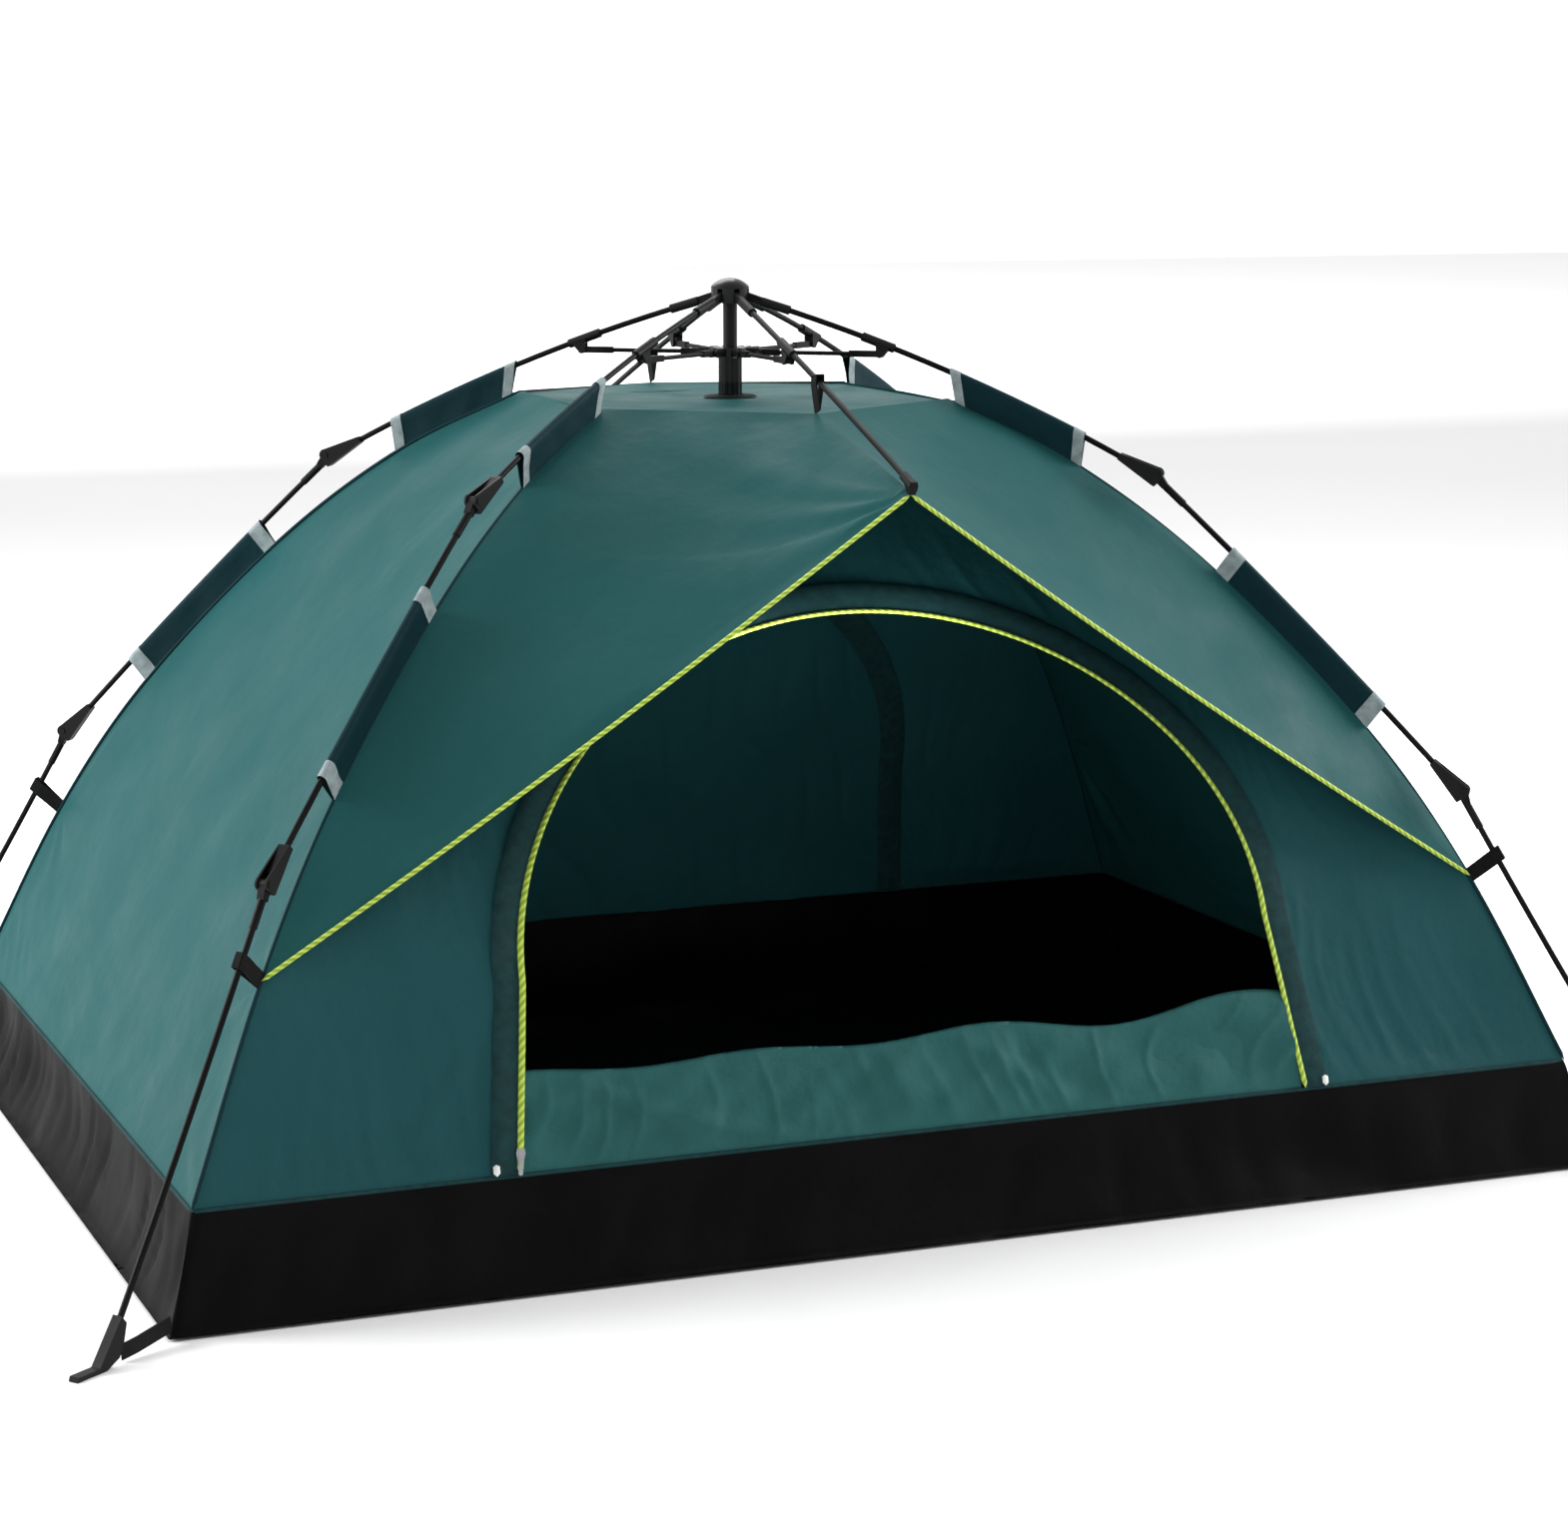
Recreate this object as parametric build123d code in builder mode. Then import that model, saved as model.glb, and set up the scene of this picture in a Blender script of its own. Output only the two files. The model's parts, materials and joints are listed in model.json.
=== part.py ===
"""Two-person instant tent: a folding umbrella frame outside a dome canopy with two eaves.

A fixed crown and shaft carry six arms: four legs and two eave arms. A runner on the shaft folds them
through struts. Each leg has three rods joined by two knees. The canopy hangs from the frame.
Origin: centre of the floor, on the ground. +Z is up and the open door faces -Y.
"""
import os
from math import cos, hypot, radians, sin

from build123d import *

os.makedirs("parts", exist_ok=True)

# ---------------------------------------------------------------- driving dimensions (mm, degrees)
LEG_AZIMUTH = 36.15  # of each leg, measured from the X axis
LEGS = {
    "front_right": -LEG_AZIMUTH,
    "rear_right": LEG_AZIMUTH,
    "rear_left": 180 - LEG_AZIMUTH,
    "front_left": 180 + LEG_AZIMUTH,
}
EAVES = {"front": -90, "rear": 90}
ARMS = {**LEGS, **EAVES}

# Points and lines of the frame are (distance from the axis, height) in the upright plane of each arm.
ARM_PIVOT = (20, 1186)
CROWN_R, CROWN_LOW, CROWN_HIGH, CAP_TOP = 27, 1175, 1195, 1210
CAP_DOME = 12  # height of the cap's domed part
SHAFT_R, SHAFT_LOW, STOP_R, STOP_H = 10, 716, 15, 8
SLEEVE_R, SLEEVE_BORE_R, SLEEVE_LOW = 17.5, 10.08, 1035
STRUT_LEVEL = 1106  # height of the level struts and of their pivots at the runner
RING_PIVOT_R, RING_CORE_R, RING_EAR_R, RING_H = 42, 23, 48, 13
LUG_PIVOT = (218, STRUT_LEVEL)
LUG_EYE_R = 5.5
STRUT_R, STRUT_END_W, STRUT_END_H = 3, 7, 9
STRUT_OUTER_END, STRUT_INNER_END = 45, 30  # lengths of a strut's two moulded ends

ROD_R = 4
SOCKET_R = 6.5
PIN_R, PIN_HOLE_R, PIN_SEAT_R = 1.6, 1.66, 1.62
TONGUE_W, SLOT_W, EAR_T = 7, 8.4, 3.2
ARM_ROD = ((60, 1173), (319, 1082), (593, 951.5))  # inner end, a middle point, outer end
MIDDLE_ROD = ((617.9, 934.2), (825, 736), (1026.3, 530.7))
LOWER_ROD = ((1044.9, 506.6), (1192, 260), (1343, 18))
EAVE_ROD = ((60, 1173), (324, 1086), (632, 976))
TIP_SOCKET, TIP_LENGTH, TIP_W = 22, 32, 10  # an eave tip's hold on the rod, its length and its hook's width
TIP_HOOK = ((12, -4), (12, 4), (31, 6), (35, -1), (31, -12), (25, -11))  # along and across the rod
BRACKET_SPAN = (192, 238)  # of the strut bracket along an arm

KNEE_OFFSET = 5  # from a knee's pin to the lines of the two rods that it joins
KNEE_REACH = 18  # from the pin back to the end of the fixed rod
KNEE_W, KNEE_SLOT_W, FERRULE_W, FERRULE_R = 17, 11.6, 10.4, 5.2
KNEE_LENGTH, KNEE_EYE_R, KNEE_LIP = 58, 8.5, 17
FERRULE_LENGTH = 46
RIVET_R, RIVET_HEAD_R = 2.5, 4
FOOT_SOCKET, FOOT_W = 44, 14  # length of a foot's socket along the rod, and the foot's width
# outline of a foot's toe
FOOT_TOE = ((1364, 6), (1400, 6), (1402, 0), (1366, 0), (1352, 0), (1330, 10), (1322, 26))
BORE_GAP = 0.05  # between a rod and the moulding that holds it
LOWER_KNEE_TILT = 1.6  # lean of the lower knee's rivet, which turns the folded rod past the upper knee

# Seam between the canopy's side and end panels, which lies in the plane of each leg.
SEAM = ((312, 1044), (495, 957), (688, 817), (903, 604), (1051, 402), (1190, 148))
FLOOR_CORNER_R = 1237
ROOF_LEVEL = 1040  # underside of the flat roof panel
ROOF_END = 324  # distance of the roof's front and rear points from the axis
EAVE_TIP = (630, 961)
FABRIC, GAP = 2, 1

DOOR_LOW, DOOR_HALF_LOW = 154, 552  # the door's lower edge and half its width there
DOOR_SPRING, DOOR_HALF, DOOR_TOP = 375, 523, 786  # where the arch starts, and its top
SILL_TOP = 280  # top of the open front door, which hangs folded along the sill
ZIP_W, ZIP_T = 9, 3
STRAP_W, STRAP_T = 20, 1.6
SLIDER_START = 172  # height of a zip slider at rest, at the foot of its zip


# ---------------------------------------------------------------- helpers
def leg_plane(azimuth):
    """The upright plane through the axis at this azimuth, with x outwards and y up."""
    a = radians(azimuth)
    return Plane(origin=(0, 0, 0), x_dir=(cos(a), sin(a), 0), z_dir=(sin(a), -cos(a), 0))


def unit(a, b):
    """Unit vector from a to b."""
    d = hypot(b[0] - a[0], b[1] - a[1])
    return ((b[0] - a[0]) / d, (b[1] - a[1]) / d)


def move(point, along, distance, left=0):
    """The point this far along a direction and this far to its left."""
    return (
        point[0] + along[0] * distance - along[1] * left,
        point[1] + along[1] * distance + along[0] * left,
    )


def arc_of(points):
    return ThreePointArc(*points, mode=Mode.PRIVATE)


def tangent(points, end):
    """Unit tangent of a rod at its start (0) or its end (1)."""
    t = arc_of(points) % end
    return (t.X, t.Y)


def bar(plane, points, radius):
    """A round bar along the arc through three points, made apart from any builder."""
    arc = plane.from_local_coords(arc_of(points))
    section = Plane(origin=arc @ 0, z_dir=arc % 0) * Circle(radius, mode=Mode.PRIVATE)
    return sweep(section, path=arc, mode=Mode.PRIVATE)


def stub(plane, start, along, length, radius):
    """A straight round bar in a leg's plane, made apart from any builder."""
    origin = plane.from_local_coords(Vector(*start, 0))
    heading = plane.from_local_coords(Vector(*move(start, along, 1), 0)) - origin
    return Solid.make_cylinder(radius, length, Plane(origin=origin, z_dir=heading))


def save(builder, name):
    builder.part.label = name
    export_step(builder.part, f"parts/{name}.step")


def save_group(name, *solids):
    """Several separate solids that move together, in one node."""
    group = Compound(label=name, children=[solid for part in solids for solid in part.solids()])
    export_step(group, f"parts/{name}.step")


def knee_pin(rod):
    """Where a knee's pin stands, beyond the outer end of the rod that holds the knee."""
    return move(rod[2], tangent(rod, 1), KNEE_REACH, KNEE_OFFSET)


UPPER_PIN = knee_pin(ARM_ROD)
LOWER_PIN = knee_pin(MIDDLE_ROD)


def tilted(plane, rod):
    """The plane of a lower knee: the leg's plane leant about the middle rod's own direction."""
    t = tangent(rod, 1)
    origin = plane.from_local_coords(Vector(0, 0, 0))
    along = plane.from_local_coords(Vector(*t, 0)) - origin
    normal = plane.z_dir * cos(radians(LOWER_KNEE_TILT)) + along * sin(radians(LOWER_KNEE_TILT))
    pin = plane.from_local_coords(Vector(*LOWER_PIN, 0))
    up = plane.from_local_coords(Vector(-t[1], t[0], 0)) - origin
    return Plane(origin=pin, x_dir=up.cross(normal), z_dir=normal)


def local_knee_plane(plane, pin, rod):
    """A knee's own plane: origin at the pin, x along the rod that holds it and y to the outside."""
    t = tangent(rod, 1)
    origin = plane.from_local_coords(Vector(*pin, 0))
    along = plane.from_local_coords(Vector(*move(pin, t, 1), 0)) - origin
    return Plane(origin=origin, x_dir=along, z_dir=plane.z_dir)


# ---------------------------------------------------------------- hub
def make_crown():
    with BuildPart() as crown:
        with BuildSketch(Plane.XY.offset(CROWN_LOW)):
            Circle(CROWN_R)
            Circle(SHAFT_R, mode=Mode.SUBTRACT)
        extrude(amount=CROWN_HIGH - CROWN_LOW)
        for azimuth in ARMS.values():
            with BuildSketch(leg_plane(azimuth)):
                with Locations((ARM_PIVOT[0] + 7.5, (CROWN_LOW + CROWN_HIGH) / 2)):
                    Rectangle(29, 40)
            extrude(amount=SLOT_W / 2, both=True, mode=Mode.SUBTRACT)
            with BuildSketch(leg_plane(azimuth)):
                with Locations(ARM_PIVOT):
                    Circle(PIN_SEAT_R)
            extrude(amount=SLOT_W / 2 + EAR_T, both=True, mode=Mode.SUBTRACT)
    save(crown, "crown_hub")

    with BuildPart() as pins:
        for azimuth in ARMS.values():
            with BuildSketch(leg_plane(azimuth)):
                with Locations(ARM_PIVOT):
                    Circle(PIN_R)
            extrude(amount=SLOT_W / 2 + EAR_T - 0.3, both=True)
    save(pins, "crown_pins")

    dome_r = (CROWN_R**2 + CAP_DOME**2) / (2 * CAP_DOME)
    with BuildPart() as cap:
        with BuildSketch(Plane.XY.offset(CROWN_HIGH)):
            Circle(CROWN_R)
        extrude(amount=CAP_TOP - CROWN_HIGH)
        with Locations((0, 0, CAP_TOP - dome_r)):
            Sphere(dome_r, mode=Mode.INTERSECT)
    save(cap, "crown_cap")

    with BuildPart() as shaft:
        with BuildSketch(Plane.XY.offset(SHAFT_LOW)):
            Circle(SHAFT_R)
            Circle(SHAFT_R - 2, mode=Mode.SUBTRACT)
        extrude(amount=CROWN_HIGH - SHAFT_LOW)
    save(shaft, "shaft")

    with BuildPart() as stop:
        with BuildSketch(Plane.XY.offset(SHAFT_LOW - STOP_H)):
            Circle(STOP_R)
        extrude(amount=STOP_H)
        chamfer(stop.edges().sort_by(Axis.Z)[0], 3)
    save(stop, "shaft_end_stop")


def make_runner():
    with BuildPart() as ring:
        with BuildSketch(Plane.XY.offset(STRUT_LEVEL - RING_H / 2)):
            Circle(RING_CORE_R)
        extrude(amount=RING_H)
        for azimuth in ARMS.values():
            with BuildSketch(leg_plane(azimuth)):
                with BuildLine():
                    Polyline(
                        (RING_CORE_R - 6, STRUT_LEVEL - RING_H / 2),
                        (RING_EAR_R - 5, STRUT_LEVEL - RING_H / 2),
                        (RING_EAR_R, STRUT_LEVEL - 2),
                        (RING_EAR_R, STRUT_LEVEL + 2),
                        (RING_EAR_R - 5, STRUT_LEVEL + RING_H / 2),
                        (RING_CORE_R - 6, STRUT_LEVEL + RING_H / 2),
                        close=True,
                    )
                make_face()
                with Locations((RING_PIVOT_R, STRUT_LEVEL)):
                    Circle(PIN_HOLE_R, mode=Mode.SUBTRACT)
            extrude(amount=SLOT_W / 2 + EAR_T, both=True)
        for azimuth in ARMS.values():
            with BuildSketch(leg_plane(azimuth)):
                with Locations(((RING_CORE_R + RING_EAR_R) / 2 + 2, STRUT_LEVEL)):
                    Rectangle(RING_EAR_R - RING_CORE_R + 2, 2 * RING_H)
            extrude(amount=SLOT_W / 2, both=True, mode=Mode.SUBTRACT)
        with BuildSketch(Plane.XY.offset(STRUT_LEVEL - RING_H)):
            Circle(SLEEVE_R)
        extrude(amount=2 * RING_H, mode=Mode.SUBTRACT)
    save(ring, "runner_ring")

    with BuildPart() as sleeve:
        with BuildSketch(Plane.XY.offset(SLEEVE_LOW)):
            Circle(SLEEVE_R)
            Circle(SLEEVE_BORE_R, mode=Mode.SUBTRACT)
        extrude(amount=STRUT_LEVEL + RING_H / 2 - SLEEVE_LOW)
    save(sleeve, "runner_sleeve")


# ---------------------------------------------------------------- arms and struts
def arm_root(plane, rod_line):
    """The end that pins an arm to the crown, with a socket for its rod."""
    along = tangent(rod_line, 0)
    back = unit(ARM_PIVOT, rod_line[0])
    tip = move(rod_line[0], along, -14)
    socket = stub(plane, tip, along, 42, SOCKET_R)
    bore = stub(plane, rod_line[0], along, 60, ROD_R + 0.3)
    with BuildPart() as root:
        with BuildSketch(plane):
            with BuildLine():
                Polyline(
                    move(ARM_PIVOT, back, 0, -LUG_EYE_R),
                    move(tip, along, 6, -LUG_EYE_R),
                    move(tip, along, 6, LUG_EYE_R),
                    move(ARM_PIVOT, back, 0, LUG_EYE_R),
                    close=True,
                )
            make_face()
            with Locations(ARM_PIVOT):
                Circle(LUG_EYE_R)
        extrude(amount=TONGUE_W / 2, both=True)
        add(socket)
        add(bore, mode=Mode.SUBTRACT)
        with BuildSketch(plane):
            with Locations(ARM_PIVOT):
                Circle(PIN_HOLE_R)
        extrude(amount=SLOT_W, both=True, mode=Mode.SUBTRACT)
    return root.part


def strut_bracket(plane, rod_line):
    """The clasp on an arm's rod whose lugs hold the outer end of the strut, with its pin."""
    arc = arc_of(rod_line)
    near, far = [point_at(arc, r) for r in BRACKET_SPAN]
    heading = unit(near, far)
    clasp = stub(plane, near, heading, hypot(far[0] - near[0], far[1] - near[1]), SOCKET_R)
    seat = bar(plane, rod_line, ROD_R + 0.1)
    with BuildPart() as bracket:
        add(clasp)
        with BuildSketch(plane):
            with BuildLine():
                Polyline(
                    move(LUG_PIVOT, heading, -LUG_EYE_R),
                    move(LUG_PIVOT, heading, -LUG_EYE_R - 5, 13),
                    move(LUG_PIVOT, heading, LUG_EYE_R + 5, 13),
                    move(LUG_PIVOT, heading, LUG_EYE_R),
                    close=True,
                )
            make_face()
            with Locations(LUG_PIVOT):
                Circle(LUG_EYE_R)
        extrude(amount=SLOT_W / 2 + EAR_T, both=True)
        with BuildSketch(plane):
            with BuildLine():
                Polyline(
                    move(LUG_PIVOT, heading, -30, -20),
                    move(LUG_PIVOT, heading, -30, LUG_EYE_R + 1.2),
                    move(LUG_PIVOT, heading, 30, LUG_EYE_R + 1.2),
                    move(LUG_PIVOT, heading, 30, -20),
                    close=True,
                )
            make_face()
        extrude(amount=SLOT_W / 2, both=True, mode=Mode.SUBTRACT)
        with BuildSketch(plane):
            with Locations(LUG_PIVOT):
                Circle(PIN_SEAT_R)
        extrude(amount=SLOT_W, both=True, mode=Mode.SUBTRACT)
        add(seat, mode=Mode.SUBTRACT)
        with BuildSketch(plane):
            with Locations(LUG_PIVOT):
                Circle(PIN_R)
        extrude(amount=SLOT_W / 2 + EAR_T - 0.2, both=True)
    return bracket.part


def point_at(arc, r):
    """The point of an arm's arc at this distance from the axis."""
    low, high = 0.0, 1.0
    for _ in range(40):
        middle = (low + high) / 2
        if (arc @ middle).X < r:
            low = middle
        else:
            high = middle
    return ((arc @ low).X, (arc @ low).Y)


def make_strut(name, azimuth):
    plane = leg_plane(azimuth)
    inner, outer = (RING_PIVOT_R, STRUT_LEVEL), LUG_PIVOT
    start = (inner[0] + STRUT_INNER_END - 4, inner[1])
    span = outer[0] - STRUT_OUTER_END + 4 - start[0]
    link = stub(plane, start, (1, 0), span, STRUT_R)
    with BuildPart() as strut:
        for pivot, length, side in ((inner, STRUT_INNER_END, 1), (outer, STRUT_OUTER_END, -1)):
            with BuildSketch(plane):
                with Locations(pivot):
                    Circle(STRUT_END_H / 2)
                with Locations((pivot[0] + side * length / 2, pivot[1])):
                    Rectangle(length, STRUT_END_H)
                with Locations(pivot):
                    Circle(PIN_HOLE_R, mode=Mode.SUBTRACT)
            extrude(amount=STRUT_END_W / 2, both=True)
        add(link)
    save(strut, f"strut_{name}")


# ---------------------------------------------------------------- knees and leg rods
def knee_housing(knee, rod_solid):
    """Two cheeks on a wedge: closed on the inner side as a stop, open on the outer side to fold."""
    with BuildPart() as housing:
        with BuildSketch(knee):
            with BuildLine():
                Polyline(
                    (-KNEE_LENGTH, -KNEE_OFFSET - 4.6),
                    (-KNEE_LENGTH, -KNEE_OFFSET + 4.6),
                    (-3, KNEE_EYE_R - 0.6),
                    (KNEE_EYE_R - 0.5, -2),
                    (5, -KNEE_LIP),
                    (1, -KNEE_LIP),
                    close=True,
                )
            make_face()
            Circle(KNEE_EYE_R)
        extrude(amount=KNEE_W / 2, both=True)
        with BuildSketch(knee):
            with BuildLine():
                Polyline(
                    (-KNEE_LENGTH - 5, 0.1),
                    (-KNEE_REACH + 1.5, 0.1),
                    (-KNEE_REACH + 1.5, -KNEE_OFFSET - 3.4),
                    (-8, -8.6),
                    (16, -16.3),
                    (30, 30),
                    (-KNEE_LENGTH - 5, 30),
                    close=True,
                )
            make_face()
        extrude(amount=KNEE_SLOT_W / 2, both=True, mode=Mode.SUBTRACT)
        add(rod_solid, mode=Mode.SUBTRACT)
        with BuildSketch(knee):
            Circle(RIVET_R + 0.02)
        extrude(amount=KNEE_W, both=True, mode=Mode.SUBTRACT)
    return housing.part


def rivet(knee):
    with BuildPart() as pin:
        with BuildSketch(knee):
            Circle(RIVET_R)
        extrude(amount=KNEE_W / 2, both=True)
        for side in (1, -1):
            with BuildSketch(knee.offset(side * KNEE_W / 2)):
                Circle(RIVET_HEAD_R)
            extrude(amount=side * 1.5)
    return pin.part


def ferrule(plane, knee, rod_line):
    """The tube at the top of a rod, flattened into an eye that turns on the knee's rivet."""
    along = tangent(rod_line, 0)
    start = rod_line[0]
    corner = knee.to_local_coords(plane.from_local_coords(Vector(*start, 0)))
    ahead = knee.to_local_coords(plane.from_local_coords(Vector(*move(start, along, 6), 0)))
    end = (ahead.X, ahead.Y)
    heading = unit((corner.X, corner.Y), end)
    shell = stub(plane, move(start, along, -4), along, FERRULE_LENGTH, FERRULE_R)
    bore = bar(plane, rod_line, ROD_R + BORE_GAP)
    with BuildPart() as tube:
        with BuildSketch(knee):
            Circle(FERRULE_R + 0.4)
            with BuildLine():
                Polyline(
                    move(end, heading, 0, -FERRULE_R + 0.5),
                    move(end, heading, 0, FERRULE_R - 0.5),
                    move((0, 0), heading, 0, FERRULE_R),
                    move((0, 0), heading, -3, -FERRULE_R - KNEE_OFFSET + 0.8),
                    close=True,
                )
            make_face()
        extrude(amount=FERRULE_W / 2, both=True)
        add(shell)
        add(bore, mode=Mode.SUBTRACT)
        with BuildSketch(knee):
            Circle(RIVET_R + PIN_HOLE_R - PIN_R)
        extrude(amount=KNEE_W, both=True, mode=Mode.SUBTRACT)
    return tube.part


def make_leg(name, azimuth):
    plane = leg_plane(azimuth)
    upper = local_knee_plane(plane, UPPER_PIN, ARM_ROD)
    lower = tilted(plane, MIDDLE_ROD)

    upper_housing = knee_housing(upper, bar(plane, ARM_ROD, ROD_R + BORE_GAP))
    save_group(f"upper_knee_{name}", upper_housing, rivet(upper))
    save_group(f"middle_rod_{name}", bar(plane, MIDDLE_ROD, ROD_R), ferrule(plane, upper, MIDDLE_ROD))
    lower_housing = knee_housing(lower, bar(plane, MIDDLE_ROD, ROD_R + BORE_GAP))
    save_group(f"lower_knee_{name}", lower_housing, rivet(lower))
    save_group(f"lower_rod_{name}", bar(plane, LOWER_ROD, ROD_R), ferrule(plane, lower, LOWER_ROD))

    make_foot(name, plane)


def make_foot(name, plane):
    """A moulded boot on the rod's end, with a flat toe on the ground."""
    along = tangent(LOWER_ROD, 1)
    top = move(LOWER_ROD[2], along, -FOOT_SOCKET)
    bore = bar(plane, LOWER_ROD, ROD_R + BORE_GAP)
    with BuildPart() as foot:
        with BuildSketch(plane):
            with BuildLine():
                Polyline(
                    move(top, along, 0, SOCKET_R - 0.5),
                    *FOOT_TOE,
                    move(top, along, 4, -SOCKET_R + 0.5),
                    close=True,
                )
            make_face()
        extrude(amount=FOOT_W / 2, both=True)
        add(bore, mode=Mode.SUBTRACT)
    save(foot, f"foot_{name}")


def eave_tip(plane):
    """The cap on an eave arm's end, which holds the eave's corner."""
    along = tangent(EAVE_ROD, 1)
    start = move(EAVE_ROD[2], along, -TIP_SOCKET)
    shell = stub(plane, start, along, TIP_LENGTH, SOCKET_R)
    bore = bar(plane, EAVE_ROD, ROD_R + BORE_GAP)
    with BuildPart() as tip:
        add(shell)
        with BuildSketch(plane):
            with BuildLine():
                Polyline(
                    *(move(start, along, ahead, aside) for ahead, aside in TIP_HOOK),
                    close=True,
                )
            make_face()
        extrude(amount=TIP_W / 2, both=True)
        add(bore, mode=Mode.SUBTRACT)
    return tip.part


def make_arm(name, azimuth):
    plane = leg_plane(azimuth)
    rod_line = EAVE_ROD if name in EAVES else ARM_ROD
    rod = bar(plane, rod_line, ROD_R)
    with BuildPart() as arm_rod:
        add(rod)
    save(arm_rod, f"arm_rod_{name}")
    fittings = [arm_root(plane, rod_line), strut_bracket(plane, rod_line)]
    if name in EAVES:
        fittings.append(eave_tip(plane))
    save_group(f"arm_fittings_{name}", *fittings)


# ---------------------------------------------------------------- canopy, walls and tub
LEG_COS, LEG_SIN = cos(radians(LEG_AZIMUTH)), sin(radians(LEG_AZIMUTH))
SIDE_LINE = [(r * LEG_COS, z) for r, z in SEAM]  # the side panels' outline, as (x, z)
END_LINE = [(r * LEG_SIN, z) for r, z in SEAM]  # the end walls' outline, as (y, z)
FAR = 2000


def outward(line, depth):
    """An outline moved this far out of the tent, at right angles to its slope."""
    moved = []
    for i, (across, height) in enumerate(line):
        before, after = line[max(i - 1, 0)], line[min(i + 1, len(line) - 1)]
        along = unit(before, after)
        moved.append((across - along[1] * depth, height + along[0] * depth))
    return moved


def band(line, outer, inner):
    """The closed outline between two depths of a wall, for a sketch in its own plane."""
    return outward(line, outer) + outward(line, inner)[::-1]


def wedge_between_legs(side_x, side_y, gap):
    """The upright prism between two legs' planes, on the side that the signs give."""
    shift = gap / (LEG_SIN if side_x else LEG_COS)
    tip = (side_x * shift, side_y * shift)
    if side_x:
        far = [(side_x * FAR, -FAR * LEG_SIN / LEG_COS), (side_x * FAR, FAR * LEG_SIN / LEG_COS)]
    else:
        far = [(-FAR * LEG_COS / LEG_SIN, side_y * FAR), (FAR * LEG_COS / LEG_SIN, side_y * FAR)]
    far = [(x + tip[0], y + tip[1]) for x, y in far]
    return extrude(make_face(Polyline(tip, *far, close=True)), FAR)


def make_side_panel(name, side):
    prism = wedge_between_legs(side, 0, GAP)
    with BuildPart() as panel:
        with BuildSketch(Plane.XZ):
            with BuildLine():
                Polyline(*[(side * x, z) for x, z in band(SIDE_LINE, 0, -FABRIC)], close=True)
            make_face()
        extrude(amount=FAR, both=True)
        add(prism, mode=Mode.INTERSECT)
    save(panel, f"side_panel_{name}")


def door_outline(margin):
    """The arched door seen from the front, drawn smaller by a margin on its sides and top."""
    w_low, w = DOOR_HALF_LOW - margin, DOOR_HALF - margin
    Line((-w_low, DOOR_LOW), (w_low, DOOR_LOW))
    Line((w_low, DOOR_LOW), (w, DOOR_SPRING))
    EllipticalCenterArc((0, DOOR_SPRING), w, DOOR_TOP - DOOR_SPRING - margin, start_angle=0, arc_size=180)
    Line((-w, DOOR_SPRING), (-w_low, DOOR_LOW))


def wall_slab(side, outer, inner):
    """The end wall between two depths, trimmed to the planes of its two legs."""
    prism = wedge_between_legs(0, side, GAP)
    profile = Plane.YZ * make_face(Polyline(*[(side * y, z) for y, z in band(END_LINE, outer, inner)],
                                            close=True))
    return extrude(profile, FAR, both=True) & prism


def make_end_wall(name, side):
    slab = wall_slab(side, 0, -FABRIC)
    with BuildPart() as wall:
        add(slab)
        with BuildSketch(Plane.XZ):
            with BuildLine():
                door_outline(0)
            make_face()
        extrude(amount=-side * FAR, mode=Mode.SUBTRACT)
        with BuildSketch(Plane.XY.offset(ROOF_LEVEL - GAP)):
            Rectangle(2 * FAR, 2 * FAR)
        extrude(amount=FAR, mode=Mode.SUBTRACT)
    save(wall, f"{name}_wall")


def make_door_parts(name, side, top):
    """The door panel itself, and the zip around it. The front door hangs folded behind its sill."""
    slab = wall_slab(side, 0.4, -FABRIC - 0.4) if side > 0 else wall_slab(side, -3, -15)
    with BuildPart() as door:
        with BuildSketch(Plane.XZ):
            with BuildLine():
                door_outline(4)
            make_face()
        extrude(amount=-side * FAR)
        with BuildSketch(Plane.XY.offset(DOOR_LOW + 3)):
            Rectangle(2 * FAR, 2 * FAR)
        extrude(amount=top - DOOR_LOW - 3, mode=Mode.INTERSECT)
        add(slab, mode=Mode.INTERSECT)
    save(door, f"{name}_door")

    skin = wall_slab(side, ZIP_T + 0.6, 0.6)
    with BuildPart() as zip_tape:
        with BuildSketch(Plane.XZ):
            with BuildLine():
                door_outline(-ZIP_W / 2)
            make_face()
            with BuildLine():
                door_outline(ZIP_W / 2)
            make_face(mode=Mode.SUBTRACT)
        extrude(amount=-side * FAR)
        with BuildSketch(Plane.XY.offset(DOOR_LOW)):
            Rectangle(2 * FAR, 2 * FAR)
        extrude(amount=FAR, mode=Mode.INTERSECT)
        add(skin, mode=Mode.INTERSECT)
    return zip_tape.part


def make_roof():
    corner = (SIDE_LINE[0][0] - GAP, END_LINE[0][0] - GAP)
    outline = [(corner[0], -corner[1]), (corner[0], corner[1]), (0, ROOF_END), (-corner[0], corner[1]),
               (-corner[0], -corner[1]), (0, -ROOF_END)]
    with BuildPart() as roof:
        with BuildSketch(Plane.XY.offset(ROOF_LEVEL)):
            with BuildLine():
                Polyline(*outline, close=True)
            make_face()
            Circle(SLEEVE_R + 1.5, mode=Mode.SUBTRACT)
        extrude(amount=FABRIC)
    with BuildPart() as collar:
        with BuildSketch(Plane.XY.offset(ROOF_LEVEL + FABRIC)):
            Ellipse(40, 27)
            Circle(SLEEVE_R + 1.5, mode=Mode.SUBTRACT)
        extrude(amount=1.5)
    save_group("roof_panel", roof.part, collar.part)


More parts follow.
